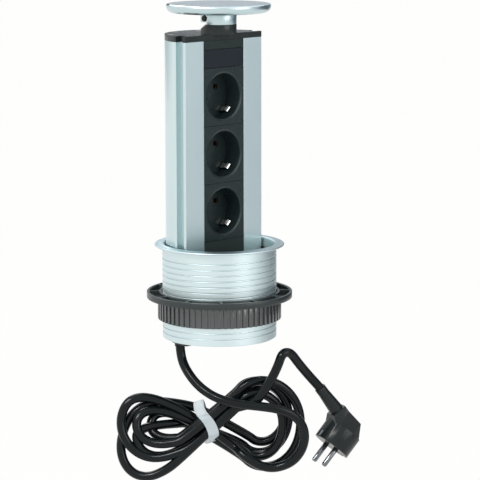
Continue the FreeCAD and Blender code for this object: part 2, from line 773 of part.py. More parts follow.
def hank_strands():
    """Order of the loops: side, front and rear offset, start and end depth, extra radius.

    Side -1 is the left lobe, +1 the right one. Offsets count strands across a bundle, depths
    count strands towards the reader. The cord comes in on top of the rear bundle, winds one
    layer in the front and then one behind it.
    """
    return [
        (-1, 0, 1, -0.5, 1.5, 0.0),
        (1, 0, 0, 1.5, -0.5, 0.0),
        (-1, -1, 0, -0.5, 1.5, 0.0),
        (1, -1, -1, 1.5, -1.5, 2.0),
        (-1, -1, -1, -1.5, 0.5, 0.0),
        (1, -1, 0, 0.5, -1.5, 0.0),
        (-1, 0, 0, -1.5, 0.5, 0.0),
        (1, 0, 1, 0.5, -1.5, 0.0),
        (-1, 1, 1, -1.5, 1.5, loose_extra),
    ]


def loop_nodes(side, front, rear, d0, d1, extra):
    """Points and directions at the ends and the two thirds of one loop, and its radius."""
    b = math.radians(bundle_angle)
    sweep = math.pi + 2 * b
    base = left_r if side < 0 else right_r
    radius = base - side * (front + rear) / 2 * strand_pitch * loop_spread + extra
    cu, cv = lobe(side, front * strand_pitch, rear * strand_pitch, radius)
    rise = (d1 - d0) * strand_pitch
    start = math.pi / 2 + side * b
    nodes = []
    for i in range(4):
        f = i / 3
        angle = start - side * sweep * i / 3
        d = d0 * strand_pitch + rise * f * f * (3 - 2 * f)
        slope = rise * 6 * f * (1 - f) / (sweep * radius)
        c, s = math.cos(angle), math.sin(angle)
        here = hank_point(cu + radius * c, cv + radius * s, d)
        ahead = hank_point(cu + radius * c + side * s, cv + radius * s - side * c, d + slope)
        nodes.append((here, (ahead - here).normalize()))
    return nodes, radius


def hank_wire():
    """The hank's centre line: loops as biarcs, and straight runs through the waist."""
    edges = []
    first = None
    for strand in hank_strands():
        nodes, radius = loop_nodes(*strand)
        reach = radius / math.tan(math.radians(bundle_angle))
        if first is None:
            first_way = nodes[0][1]
            first = nodes[0][0] - first_way * (reach + run_in)
            last = first
        edges.append(Part.LineSegment(last, nodes[0][0]).toShape())
        for (p1, t1), (p2, t2) in zip(nodes, nodes[1:]):
            edges += biarc(p1, t1, p2, t2)
        last, last_way = nodes[-1]
    end = last + last_way * (reach + run_out)
    edges.append(Part.LineSegment(last, end).toShape())
    return Part.Wire(edges), first, first_way, end, last_way


def least_gap(wire, spacing=3.0):
    """Least gap between stretches of the cord that are not next to each other."""
    count = int(wire.Length / spacing)
    points = wire.discretize(Number=count)
    step = wire.Length / (count - 1)
    skip = int(5 * cord_d / step)
    cells = {}
    for i, p in enumerate(points):
        key = (int(p.x // 12), int(p.y // 12), int(p.z // 12))
        cells.setdefault(key, []).append(i)
    least = 99.0
    for i, p in enumerate(points):
        kx, ky, kz = int(p.x // 12), int(p.y // 12), int(p.z // 12)
        for x in (kx - 1, kx, kx + 1):
            for y in (ky - 1, ky, ky + 1):
                for z in (kz - 1, kz, kz + 1):
                    for j in cells.get((x, y, z), ()):
                        if j > i + skip:
                            least = min(least, (points[j] - p).Length)
    return least - cord_d


def plug_frame():
    """Origin at the contact face's centre; p along the pins, w along their row, q past the cord."""
    pin = to_world(*plug_pin_dir).normalize()
    row = to_world(*plug_row_dir)
    row = (row - pin * row.dot(pin)).normalize()
    across = row.cross(pin)
    if across.z > 0:
        across = across * -1
    origin = to_world(plug_face_a, plug_face_z, plug_face_d)
    return origin, pin, row, across


def plug_section(at_q, half_w, low, high):
    """Rectangle across the plug's length, between two heights above the contact face."""
    o, p, w, q = plug_frame()
    corners = [(-half_w, low), (half_w, low), (half_w, high), (-half_w, high)]
    return Part.makePolygon([o + q * at_q + w * x - p * h for x, h in corners + corners[:1]])


def relief_axis():
    """Foot and direction of the strain relief, and the direction across both it and the pin row."""
    o, p, w, q = plug_frame()
    c, s = math.cos(math.radians(relief_tilt)), math.sin(math.radians(relief_tilt))
    return o - q * plug_neck_out - p * plug_neck, q * -c - p * s, q * s - p * c


def plug_body():
    """Angled plug: round contact face, stepped back and a neck for the cord."""
    o, p, w, q = plug_frame()
    face = rod(plug_r, plug_rim_h, o, p * -1)
    root_h = plug_rim_h - 6
    foot, _, across = relief_axis()
    half = relief_r + 0.6
    corners = [(-half, -half), (half, -half), (half, half), (-half, half)]
    mouth = Part.makePolygon([foot + w * x + across * y for x, y in corners + corners[:1]])
    shoulder = plug_section(5 - plug_r, 11.0, root_h, plug_body_h)
    neck = Part.makeLoft([mouth, shoulder], True, True)
    head = Part.makeLoft([shoulder, plug_section(4.5, 11.5, root_h, plug_back_h),
                          plug_section(14.2, 8.0, root_h, plug_nose_h)], True, True)
    body = fuse(face, neck, head)
    holes = []
    for s in (-1, 1):
        mouth = o + w * s * pin_pitch / 2
        holes.append(rod(plug_root_r + screw_play, plug_root_len + 2, mouth + p, p * -1))
    holes.append(rod(2.6, 9, o + q * 7.5 + p, p * -1))
    for s in (-1, 1):
        groove = prism([o + q * s * (plug_r + 1) + w * x - p * h
                        for x, h in ((-2.6, -1), (2.6, -1), (2.6, 7), (-2.6, 7))], q * -s * 2.6)
        holes.append(groove)
    return body.cut(holes)


def plug_pins():
    o, p, w, q = plug_frame()
    pins = []
    for s in (-1, 1):
        foot = o + w * s * pin_pitch / 2
        root = rod(plug_root_r, plug_root_len, foot - p * plug_root_len, p)
        shank = rod(plug_pin_r, plug_pin_len - 1.2, foot, p)
        tip = Part.makeCone(plug_pin_r, plug_pin_r - 1.0, 1.2, foot + p * (plug_pin_len - 1.2), p)
        pins.append(fuse(root, shank, tip))
    return Part.makeCompound(pins)


def plug_earth_contacts():
    o, p, w, q = plug_frame()
    strips = []
    for s in (-1, 1):
        strips.append(prism([o + q * s * (plug_r - 1.6 + fit) + w * x - p * h
                             for x, h in ((-2.2, 0.6), (2.2, 0.6), (2.2, 6.6), (-2.2, 6.6))],
                            q * s * 0.8))
    return Part.makeCompound(strips)


def plug_strain_relief():
    foot, way, _ = relief_axis()
    return Part.makeCone(relief_r, relief_tip_r, relief_len, foot, way)


def cord_lead_points(end, way):
    """Route from the grip, across the front bundle and round the right lobe to the hank."""
    chosen = [
        (cord_a, exit_z, 0),
        (cord_a, exit_z - 12, 0),
        (cord_a + 4.5, exit_z - 27, 5),
        (cord_a + 15, exit_z - 41, 13),
        (cord_a + 31, exit_z - 51, 22),
        (cord_a + 50, exit_z - 56, 26),
        (cord_a + 68, exit_z - 57, 27),
        (cord_a + 86, exit_z - 58, 25),
        (cord_a + 101, exit_z - 64, 22),
        (cord_a + 110, exit_z - 76, 18),
        (cord_a + 109, exit_z - 91, 14),
        (cord_a + 100, exit_z - 104, 11),
        (cord_a + 85, exit_z - 111, 8),
        (cord_a + 72, exit_z - 105, 8),
        (cord_a + 64.5, exit_z - 93, 7),
    ]
    points = [to_world(*c) for c in chosen]
    return points + [end - way * 9, end]


def cord_plug_lead_points(start, way):
    """Route from the hank's last strand, over its right lobe and up to the plug."""
    chosen = [
        (waist_a + 36.5, waist_z + 26.5, 21),
        (waist_a + 43.5, waist_z + 37.5, 24.3),
        (waist_a + 51, waist_z + 49.5, 25),
        (waist_a + 56.5, waist_z + 61.5, 25),
        (waist_a + 60, waist_z + 74.5, 24),
        (waist_a + 72, waist_z + 74.2, 19.5),
        (waist_a + 79.5, waist_z + 61, 12),
    ]
    foot, out, _ = relief_axis()
    end = foot + out * relief_len
    return [start, start + way * 6] + [to_world(*c) for c in chosen] + [end + out * 12, end]


def band_face(grow):
    """Rounded rectangle round both bundles, in the plane across the hank's long axis."""
    b = math.radians(bundle_angle)
    half_v = (strand_pitch + cord_d / 2) / math.cos(b) + band_w / 2 * math.tan(b) + band_play + grow
    half_d = strand_pitch * 1.5 + cord_d / 2 + band_play + grow
    signs = ((-1, -1), (1, -1), (1, 1), (-1, 1))
    corners = [hank_point(-band_w / 2, half_v * v, half_d * d) for v, d in signs]
    arcs = []
    for i in range(4):
        arcs.append(corner_arc(corners[i - 1], corners[i], corners[(i + 1) % 4], band_corner_r + grow))
    edges = []
    for i, (start, mid, end, _) in enumerate(arcs):
        edges.append(Part.LineSegment(arcs[i - 1][2], start).toShape())
        edges.append(Part.Arc(start, mid, end).toShape())
    return Part.Face(Part.Wire(edges))


def cord_band():
    """Closed band round the hank's waist."""
    way = hank_point(band_w, 0, 0) - hank_point(0, 0, 0)
    return band_face(band_t).extrude(way).cut(band_face(0).extrude(way))


def main():
    os.makedirs("parts", exist_ok=True)
    parts = {
        "barrel_sleeve": barrel_sleeve(),
        "guide_right": guide(1),
        "guide_left": guide(-1),
        "clamp_ring": clamp_ring(),
        "ring_nut": ring_nut(),
        "column_profile": column_profile(),
        "filler_strip": filler_strip(),
        "label_plate": label_plate(),
        "blank_module": blank_module(),
        "top_end_cap": top_end_cap(),
        "top_cap_screws": Part.makeCompound([cap_screw(p, True) for p in port_points(cap_top)]),
        "lid_neck": lid_neck(),
        "lid_disc": lid_disc(),
        "lid_screw": lid_screw(),
        "release_button": release_button(),
        "release_rod": release_rod(),
        "brake_shoe": brake_shoe(),
        "brake_spring": brake_spring(),
        "lower_end_cap": lower_end_cap(),
        "lower_cap_screws": Part.makeCompound(
            [cap_screw(p, False) for p in port_points(low_top - low_cap_t)]),
        "terminal_block": terminal_block(),
        "terminal_screws": terminal_screws(),
        "cord_cores": cord_cores(),
        "cord_grip": cord_grip(),
        "live_bar": bus_bar(bar_x, 1),
        "neutral_bar": bus_bar(-bar_x, -1),
        "earth_bar": bus_bar(0, 0),
    }
    for i, z in enumerate(socket_z):
        number = str(i + 1)
        parts["socket_front_" + number] = socket_front(z)
        parts["socket_base_" + number] = socket_base(z)
        parts["socket_contacts_" + number] = socket_contacts(z)
        parts["earth_clip_" + number] = earth_clip(z)
    wire, first, first_way, last, last_way = hank_wire()
    print("hank length", round(wire.Length, 1), "least gap", round(least_gap(wire), 2))
    hank = swept(wire, cord_d / 2, first, first_way)
    ideal = math.pi * cord_d * cord_d / 4 * wire.Length
    print("hank volume share", round(hank.Volume / ideal, 4), "valid", hank.isValid())
    parts["cord_hank"] = hank
    parts["cord_lead"] = cord_tube(cord_lead_points(first, first_way), cord_d / 2, "cord_lead")
    parts["cord_plug_lead"] = cord_tube(cord_plug_lead_points(last, last_way), cord_d / 2,
                                        "cord_plug_lead")
    parts["cord_band"] = cord_band()
    parts["plug_body"] = plug_body()
    parts["plug_pins"] = plug_pins()
    parts["plug_earth_contacts"] = plug_earth_contacts()
    parts["plug_strain_relief"] = plug_strain_relief()
    for name, shape in parts.items():
        if not shape.isValid():
            print("not valid:", name)
        shape.exportStep("parts/" + name + ".step")
    print(len(parts), "nodes")


main()
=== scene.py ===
# %% [markdown]
# # A pull-up power column for a worktop
#
# This lesson dresses one object: an aluminium column with three sockets that slides up out of a
# threaded barrel. Its construction is finished already, so the first step is to load those pieces.
# They sit at their real size, in metres, and none of them is ever moved here. We add the cord, the
# parts whose surfaces need more shape, and a finish for every piece.

# %% Load the construction
import bpy
import bmesh
import json
import math
from collections import namedtuple
from mathutils import Matrix, Vector


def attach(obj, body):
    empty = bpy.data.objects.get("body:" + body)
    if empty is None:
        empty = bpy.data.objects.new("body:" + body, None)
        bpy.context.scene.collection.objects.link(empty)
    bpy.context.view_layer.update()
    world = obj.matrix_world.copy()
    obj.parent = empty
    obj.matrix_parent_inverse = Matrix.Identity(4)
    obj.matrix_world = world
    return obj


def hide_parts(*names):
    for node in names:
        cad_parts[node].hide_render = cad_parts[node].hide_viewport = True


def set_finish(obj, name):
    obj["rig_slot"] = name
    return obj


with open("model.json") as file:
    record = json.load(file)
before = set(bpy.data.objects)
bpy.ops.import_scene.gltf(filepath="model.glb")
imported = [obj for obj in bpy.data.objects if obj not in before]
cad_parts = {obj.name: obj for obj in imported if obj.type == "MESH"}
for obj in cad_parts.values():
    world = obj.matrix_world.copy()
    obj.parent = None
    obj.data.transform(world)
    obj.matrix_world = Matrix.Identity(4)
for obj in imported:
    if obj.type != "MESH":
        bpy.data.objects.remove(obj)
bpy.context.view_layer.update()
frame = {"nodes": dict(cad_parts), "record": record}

nodes = frame["nodes"]

# %% [markdown]
# ## The camera
#
# The photograph was taken with a long lens, from the object's left and a little above. A long lens
# keeps upright edges almost parallel, so we stand about two metres away. The last tenth of a degree
# that the column leans in the picture comes from a small roll of the camera.

# %% Place the camera
lens_mm = 172.9
camera_distance = 1.980
camera_height = 0.3394
camera_aside = 0.0180
camera_pitch = math.radians(9.615)
camera_roll = math.radians(-0.1)
to_reader = Vector((-math.sqrt(0.5), -math.sqrt(0.5), 0))
to_right = Vector((math.sqrt(0.5), -math.sqrt(0.5), 0))
up = Vector((0, 0, 1))

camera_data = bpy.data.cameras.new("photo_camera")
camera_data.lens = lens_mm
camera_data.sensor_width = 36
camera = bpy.data.objects.new("photo_camera", camera_data)
bpy.context.scene.collection.objects.link(camera)
camera.location = to_reader * camera_distance + to_right * camera_aside + up * camera_height
gaze = -to_reader * math.cos(camera_pitch) - up * math.sin(camera_pitch)
turn = gaze.to_track_quat("-Z", "Y").to_matrix() @ Matrix.Rotation(camera_roll, 3, "Z")
camera.rotation_euler = turn.to_euler()
bpy.context.scene.camera = camera
print("camera at", [round(x, 3) for x in camera.location])

# %% [markdown]
# ## The cord's route
#
# A mains cord is one flexible piece from the column to the plug, so it is one curve too. Its lead
# and its way to the plug follow listed points. Between them it is wound into a banded
# figure-eight, whose loops come from a formula: each one is an arc that rises or sinks between the
# layers. All of it lies near one upright plane that faces the reader, so a point is given by how
# far right, how high and how far towards the reader it is.

# %% Points of the lead and of the way to the plug
cord_diameter = 0.0082
exit_right = -0.0347
exit_height = -0.090


def in_plane(right, height, towards):
    """Point of the frame from its place in the cord's plane."""
    return to_right * right + to_reader * towards + up * height


lead_route = [
    (exit_right, exit_height, 0),
    (exit_right + 0.0005, exit_height - 0.010, 0),
    (exit_right + 0.0055, exit_height - 0.0215, 0.005),
    (exit_right + 0.016, exit_height - 0.0335, 0.013),
    (exit_right + 0.031, exit_height - 0.042, 0.022),
    (exit_right + 0.050, exit_height - 0.0465, 0.026),
    (exit_right + 0.068, exit_height - 0.048, 0.027),
    (exit_right + 0.086, exit_height - 0.051, 0.025),
    (exit_right + 0.100, exit_height - 0.057, 0.022),
    (exit_right + 0.109, exit_height - 0.070, 0.018),
    (exit_right + 0.109, exit_height - 0.087, 0.014),
    (exit_right + 0.100, exit_height - 0.102, 0.011),
    (exit_right + 0.085, exit_height - 0.109, 0.008),
    (exit_right + 0.072, exit_height - 0.1075, 0.009),
    (exit_right + 0.0615, exit_height - 0.1015, 0.009),
]
plug_route = [
    (0.031, -0.137, 0.021),
    (0.038, -0.126, 0.0243),
    (0.0455, -0.114, 0.025),
    (0.051, -0.102, 0.025),
    (0.0545, -0.0915, 0.024),
    (0.0615, -0.0915, 0.0195),
    (0.069, -0.1035, 0.012),
    (0.079, -0.1173, 0.003),
    (0.0879, -0.1278, 0.0001),
]
print("hand-chosen points:", len(lead_route) + len(plug_route))

# %% [markdown]
# The hank has two bundles that cross at its waist. Every loop touches one strand of each bundle,
# which fixes where its centre lies once its radius is known. The list below says, loop by loop,
# which strands those are, in which layer the loop starts and ends, and how much looser it hangs.
# A hank wound by hand is never that regular. So each loop is also pushed along, across and towards
# the reader by a few millimetres, its halves are flattened or stretched, and one of them leans.
# These pushes bring some strands closer than a diameter, and there they sink into one another.

# %% Wind the hank
waist_right = -0.0055
waist_height = -0.1636
hank_tilt = math.radians(4.5)
bundle_angle = math.radians(40)
strand_pitch = 0.0089
left_radius = 0.027
right_radius = 0.026
loop_spread = 1.15
run_past_waist = 0.014
points_per_loop = 13
flat_above = 0.48
flat_above_from = 0.025
flat_above_over = 0.050
flat_below = 0.78
flat_below_from = 0.030
flat_below_over = 0.035
Loop = namedtuple("Loop", "side front rear start_layer end_layer looser"
                          " along across towards upper lower lean")
loops = [
    Loop(-1, 0, 1, -0.5, 1.5, 0.0, -0.006, 0.002, 0.0, 1.0, 0.95, -0.05),
    Loop(1, 0, 0, 1.5, -0.5, 0.002, -0.010, 0.002, 0.0, 1.08, 1.24, 0.0),
    Loop(-1, -1, 0, -0.5, 1.5, 0.0, -0.005, 0.004, 0.0, 0.85, 0.75, 0.0),
    Loop(1, -1, -1, 1.5, -1.5, 0.003, -0.009, 0.001, 0.0, 1.08, 1.18, 0.0),
    Loop(-1, -1, -1, -1.5, 0.5, 0.0, 0.001, 0.006, 0.0, 1.0, 0.6, 0.0),
    Loop(1, -1, 0, 0.5, -1.5, 0.001, -0.008, 0.001, 0.005, 1.08, 1.2, 0.0),
    Loop(-1, 0, 0, -1.5, 0.5, -0.002, -0.005, -0.003, 0.009, 0.3, 0.85, 0.0),
    Loop(1, 0, 1, 0.5, -1.5, 0.005, -0.008, 0.003, -0.004, 1.08, 1.24, 0.0),
    Loop(-1, 1, 1, -1.5, 1.5, 0.002, 0.005, 0.0, 0.0, 1.0, 1.0, 0.35),
]


def in_hank(along, across, towards):
    """Point of the frame: along the hank's long axis, across it and towards the reader."""
    c, s = math.cos(hank_tilt), math.sin(hank_tilt)
    right = waist_right + along * c - across * s
    return in_plane(right, waist_height + along * s + across * c, towards)


def ramp(value, start, length):
    """0 before start, 1 beyond start + length, and straight between them."""
    return min(1.0, max(0.0, (value - start) / length))


def flatten_left(along, across):
    """The left loops lie flatter the nearer they come to the band."""
    if across > 0:
        return flat_above + (1 - flat_above) * ramp(-along, flat_above_from, flat_above_over)
    return flat_below + (1 - flat_below) * ramp(-along, flat_below_from, flat_below_over)


def loop_points(loop):
    """Points of one loop of the hank, and its radius."""
    base = left_radius if loop.side < 0 else right_radius
    strands = (loop.front + loop.rear) * strand_pitch
    radius = base - loop.side * strands / 2 * loop_spread + loop.looser
    middle = (strands + 2 * loop.side * radius) / (2 * math.sin(bundle_angle))
    level = (loop.rear - loop.front) * strand_pitch / (2 * math.cos(bundle_angle))
    points = []
    for i in range(points_per_loop):
        share = i / (points_per_loop - 1)
        angle = math.pi / 2 + loop.side * (bundle_angle - (math.pi + 2 * bundle_angle) * share)
        climb = share * share * (3 - 2 * share)
        layer = loop.start_layer + (loop.end_layer - loop.start_layer) * climb
        push = math.sqrt(max(0.0, math.sin(math.pi * share)))
        across = level + radius * math.sin(angle) + loop.across * push
        along = middle + radius * math.cos(angle) + loop.along * push + loop.lean * across
        stretch = loop.upper if across > 0 else loop.lower
        if loop.side < 0:
            across *= flatten_left(along, across) * stretch
        else:
            across *= 1 + (stretch - 1) * push
        points.append(in_hank(along, across, layer * strand_pitch + loop.towards * push))
    return points, radius


def past_waist(point, radius, rise):
    """Point on the straight run beyond the waist, and the way that the run takes."""
    way = in_hank(math.cos(bundle_angle), rise * math.sin(bundle_angle), 0) - in_hank(0, 0, 0)
    return point + way * (radius / math.tan(bundle_angle) + run_past_waist), way


wound = [loop_points(loop) for loop in loops]
hank_start, start_way = past_waist(wound[0][0][0], wound[0][1], -1)
hank_end, end_way = past_waist(wound[-1][0][-1], wound[-1][1], 1)
hank_points = [point for points, radius in wound for point in points]
print("hank points:", len(hank_points))

# %% [markdown]
# All of these points become the control points of one NURBS spline. The spline doesn't pass
# through them, it is drawn towards them, and that rounds every bend. Where the cord enters and
# leaves the hank, one more point on its straight run guides it in. The spline's order and its
# pinned ends are set after the points are there. The cord's radius is kept in the points, and the
# curve's bevel only multiplies it.

# %% Draw the cord
entry_run = 0.009
entry_lift = 0.011
leaving_run = 0.006
cord_points = [in_plane(*p) for p in lead_route]
cord_points += [hank_start + start_way * entry_run + to_reader * entry_lift, hank_start]
cord_points += hank_points
cord_points += [hank_end, hank_end + end_way * leaving_run] + [in_plane(*p) for p in plug_route]

cord_curve = bpy.data.curves.new("mains_cord", "CURVE")
cord_curve.dimensions = "3D"
spline = cord_curve.splines.new("NURBS")
spline.points.add(len(cord_points) - 1)
for point, place in zip(spline.points, cord_points):
    point.co = (*place, 1)
    point.radius = cord_diameter / 2
spline.order_u = 3
spline.use_endpoint_u = True
spline.use_smooth = True
cord_curve.resolution_u = 5
cord_curve.bevel_depth = 1
cord_curve.bevel_resolution = 6
cord = bpy.data.objects.new("mains_cord", cord_curve)
bpy.context.scene.collection.objects.link(cord)
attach(cord, "column")
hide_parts("cord_lead", "cord_hank", "cord_plug_lead")
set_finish(cord, "cord_rubber")
print("control points of the cord:", len(cord_points))

# %% [markdown]
# ## Helpers for new pieces
#
# Several pieces are built from rings of points: a turned part is one outline carried round an axis.
# One helper joins such rings into a closed skin, and another makes the object and lets it ride on
# the body that carries the real piece.

# %% Helpers for new pieces
def add_piece(name, bm, body, slot, replaced=(), smooth_angle=40):
    """Mesh object from a bmesh, smooth shaded except over sharp edges."""
    bmesh.ops.recalc_face_normals(bm, faces=bm.faces)
    mesh = bpy.data.meshes.new(name)
    bm.to_mesh(mesh)
    bm.free()
    mesh.shade_smooth()
    mesh.set_sharp_from_angle(angle=math.radians(smooth_angle))
    piece = bpy.data.objects.new(name, mesh)
    bpy.context.scene.collection.objects.link(piece)
    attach(piece, body)
    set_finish(piece, slot)
    if replaced:
        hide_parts(*replaced)
    print(name, "faces:", len(mesh.polygons))
    return piece


def skin_rings(bm, rings, close_ends=False, close_rows=False):
    """Quads between rings of points; each ring is closed round its own axis."""
    rows = [[bm.verts.new(p) for p in ring] for ring in rings]
    pairs = list(zip(rows, rows[1:]))
    if close_rows:
        pairs.append((rows[-1], rows[0]))
    for a, b in pairs:
        for i in range(len(a)):
            j = (i + 1) % len(a)
            bm.faces.new((a[i], a[j], b[j], b[i]))
    if close_ends:
        bm.faces.new(rows[0])
        bm.faces.new(list(reversed(rows[-1])))
    return rows


def arc_points(centre, radius, start, end, steps):
    """Points (radius, height) of an arc in a turned outline, angles in degrees."""
    points = []
    for i in range(steps + 1):
        angle = math.radians(start + (end - start) * i / steps)
        points.append((centre[0] + radius * math.cos(angle), centre[1] + radius * math.sin(angle)))
    return points


# %% [markdown]
# ## The barrel
#
# The barrel is one aluminium part: a collar that lies on the worktop and a sleeve with a shallow
# clamping thread. A thread could be cut with a modifier, but we can also write it down as a grid of
# points. The rows of this grid climb with the thread, so that each edge of the groove lies on a row
# and stays crisp all the way round. After one turn a row has climbed by the pitch, and there it
# joins the row that started that much higher. One small triangle stays open where the first row
# starts, so it is closed afterwards.

# %% Turn the barrel and cut its thread
barrel_radius = 0.04975
bore_radius = 0.048
collar_radius = 0.0565
collar_height = 0.002
barrel_length = 0.0805
thread_pitch = 0.005
thread_depth = 0.0006
groove_half = 0.0005
groove_slope = 0.00025
thread_top = -0.0066
thread_end = -0.0775
thread_fade = 0.002
ring_steps = 216
rows_per_turn = 20
wall_top = -0.0008
wall_bottom = -barrel_length + 0.0006
weld_distance = 0.000002
lip = 0.0009
chamfer = 0.0003
collar_edge = 0.0008


def around(radius, height):
    """Ring of points round the barrel's axis."""
    angles = (2 * math.pi * i / ring_steps for i in range(ring_steps))
    return [(radius * math.cos(a), radius * math.sin(a), height) for a in angles]


def groove(height, angle):
    """Depth of the helical groove at a place on the sleeve."""
    phase = (height / thread_pitch - angle / (2 * math.pi)) % 1.0
    distance = abs(phase - 0.5) * thread_pitch
    edge = min(ramp(thread_top - height, 0, thread_fade), ramp(height - thread_end, 0, thread_fade))
    return thread_depth * edge * ramp(groove_half - distance, 0, groove_slope)


def threaded_wall(bm):
    """Wall whose rows of points climb with the thread."""
    row_step = thread_pitch / rows_per_turn
    rows = []
    for j in range(math.ceil((wall_top - wall_bottom) / row_step) + rows_per_turn + 1):
        row = []
        for k in range(ring_steps):
            climb = thread_pitch * k / ring_steps
            height = max(wall_bottom, min(wall_top, wall_top + climb - j * row_step))
            angle = 2 * math.pi * k / ring_steps
            radius = barrel_radius - groove(height, angle)
            row.append(bm.verts.new((radius * math.cos(angle), radius * math.sin(angle), height)))
        rows.append(row)
    for j in range(len(rows) - 1):
        for k in range(ring_steps - 1):
            bm.faces.new((rows[j][k], rows[j][k + 1], rows[j + 1][k + 1], rows[j + 1][k]))
        if j >= rows_per_turn:
            higher = j - rows_per_turn
            bm.faces.new((rows[j][-1], rows[higher][0], rows[higher + 1][0], rows[j + 1][-1]))


outline = [(barrel_radius, wall_bottom), (barrel_radius - chamfer, -barrel_length)]
outline += [(bore_radius + chamfer, -barrel_length), (bore_radius, -barrel_length + chamfer)]
outline += [(bore_radius, -0.04), (bore_radius, -0.01)]
outline += arc_points((bore_radius + lip, collar_height - lip), lip, 180, 90, 4)
outline += [(bore_radius + 0.0022, collar_height), (bore_radius + 0.0027, collar_height - 0.0002)]
outline += [(collar_radius - 0.0014, collar_height - 0.0004)]
outline += arc_points((collar_radius - collar_edge, collar_edge), collar_edge, 80, -90, 7)
outline += [(barrel_radius + 0.0004, 0), (barrel_radius, -0.0004), (barrel_radius, wall_top)]
bm = bmesh.new()
skin_rings(bm, [around(radius, height) for radius, height in outline])
threaded_wall(bm)
bmesh.ops.remove_doubles(bm, verts=bm.verts, dist=weld_distance)
bmesh.ops.holes_fill(bm, edges=[edge for edge in bm.edges if edge.is_boundary], sides=3)
open_edges = sum(1 for edge in bm.edges if len(edge.link_faces) != 2)
barrel = add_piece("barrel_and_collar", bm, "barrel", "barrel_aluminium", ["barrel_sleeve"], 28)
print("open edges on the barrel:", open_edges)

# %% [markdown]
# ## The band round the hank
#
# A pale strap holds the hank together at its waist. It could be drawn as a plain ring, but a real
# strap is pulled tight and takes the shape of what it holds. So we look which strands pass through
# its plane, lay a taut line round them, and carry a small cross-section along that line. The strap
# leans to the left and bulges to the right at the front, where the strands press on it.

# %% Lay the band
band_width = 0.0095
band_thickness = 0.001
band_lean = math.radians(12)
band_bulge = 0.008
band_along = -0.0075
band_reach = 0.004
band_half = 0.020
band_gap = 0.0002
band_step = 0.002
band_turns = 96
band_search = 0.03
band_samples = 12


def walk_spline(points, steps):
    """Points on the clamped quadratic spline that Blender draws from the control points."""
    path = []
    for i in range(1, len(points) - 1):
        start = points[0] if i == 1 else (points[i - 1] + points[i]) / 2
        stop = points[-1] if i == len(points) - 2 else (points[i] + points[i + 1]) / 2
        for k in range(steps):
            t = k / steps
            path.append(start * (1 - t) ** 2 + points[i] * (2 * t * (1 - t)) + stop * t * t)
    return path + [points[-1]]


def bulge_at(upward, towards):
    """How far right the strap lies at a place: most at half its height on its front side."""
    return band_bulge * max(0.0, 1 - (upward / band_half) ** 2) * ramp(towards, 0, band_half)


hank_origin = in_hank(band_along, 0, 0)
band_side = in_hank(band_along + math.cos(band_lean), math.sin(band_lean), 0) - hank_origin
band_up = in_hank(band_along - math.sin(band_lean), math.cos(band_lean), 0) - hank_origin
held = []
for place in walk_spline(cord_points, band_samples):
    offset = place - hank_origin
    at = Vector((offset.dot(band_up), offset.dot(to_reader)))
    if abs(offset.dot(band_side) - bulge_at(*at)) < band_reach and offset.length < band_search:
        held.append(at)
taut = []
for k in range(band_turns):
    angle = 2 * math.pi * k / band_turns
    out = Vector((math.cos(angle), math.sin(angle)))
    corner = max(held, key=out.dot)
    taut.append((corner + out * (cord_diameter / 2 + band_gap + band_thickness / 2), out))
line = []
for (place, out), (next_place, next_out) in zip(taut, taut[1:] + taut[:1]):
    pieces = max(1, math.ceil((next_place - place).length / band_step))
    for k in range(pieces):
        share = k / pieces
        line.append((place.lerp(next_place, share), out.lerp(next_out, share).normalized()))

section = [(-0.5, -0.3), (-0.5, 0.3), (-0.44, 0.5), (0, 0.56), (0.44, 0.5), (0.5, 0.3),
           (0.5, -0.3), (0.44, -0.5), (-0.44, -0.5)]
top = max(place.x for place, out in line)
bottom = min(place.x for place, out in line)
rings = []
for place, out in line:
    bulge = bulge_at(*place)
    ring = []
    for wide, thick in section:
        at = place + out * thick * band_thickness
        aside = band_side * (wide * band_width + bulge)
        ring.append(hank_origin + aside + band_up * at.x + to_reader * at.y)
    rings.append(ring)
bm = bmesh.new()
skin_rings(bm, rings, close_rows=True)
band = add_piece("hank_band", bm, "column", "band_plastic", ["cord_band"])
print("the band is", round(top - bottom, 4), "high and holds", len(held), "places of the cord")

# %% [markdown]
# ## The plug's strain relief
#
# Where the cord enters the plug, a moulded sleeve keeps it from kinking. On this plug it is smooth
# and tapers towards the cord. Its outline is turned round the line from the plug's neck to the
# cord, with a small rounding at the end where the cord comes out.

# %% Turn the strain relief
relief_start = in_plane(0.1028, -0.1493, -0.0065)
relief_end = in_plane(0.0879, -0.1278, 0.0001)
relief_foot_radius = 0.0062
relief_tip_radius = 0.0050
relief_rounding = 0.0006
relief_steps = 48
relief_play = 0.00005
relief_length = (relief_end - relief_start).length
relief_way = (relief_end - relief_start).normalized()
side_way = relief_way.orthogonal().normalized()
other_way = relief_way.cross(side_way)
relief_outline = [(cord_diameter / 2 + relief_play, 0.0), (relief_foot_radius, 0.0),
                  (relief_foot_radius, 0.003), (relief_tip_radius, relief_length * 0.75)]
relief_outline += arc_points((relief_tip_radius - relief_rounding, relief_length - relief_rounding),
                             relief_rounding, 0, 90, 4)
relief_outline += [(cord_diameter / 2 + relief_play, relief_length)]
rings = []
for radius, height in relief_outline:
    centre = relief_start + relief_way * height
    rings.append([centre + (side_way * math.cos(t) + other_way * math.sin(t)) * radius
                  for t in (2 * math.pi * i / relief_steps for i in range(relief_steps))])
bm = bmesh.new()
skin_rings(bm, rings, close_rows=True)
relief = add_piece("cord_strain_relief", bm, "column", "plug_rubber", ["plug_strain_relief"], 35)
print("strain relief length", round(relief_length, 4))

# %% [markdown]
# ## Rounded edges
#
# No real edge is perfectly sharp: even a saw-cut profile catches a thin line of light. The loaded
# pieces keep their meshes, so the rounding is a modifier. A weld joins the points that the loaded
# file keeps apart at each edge, and a bevel then rounds only the edges that turn sharply.

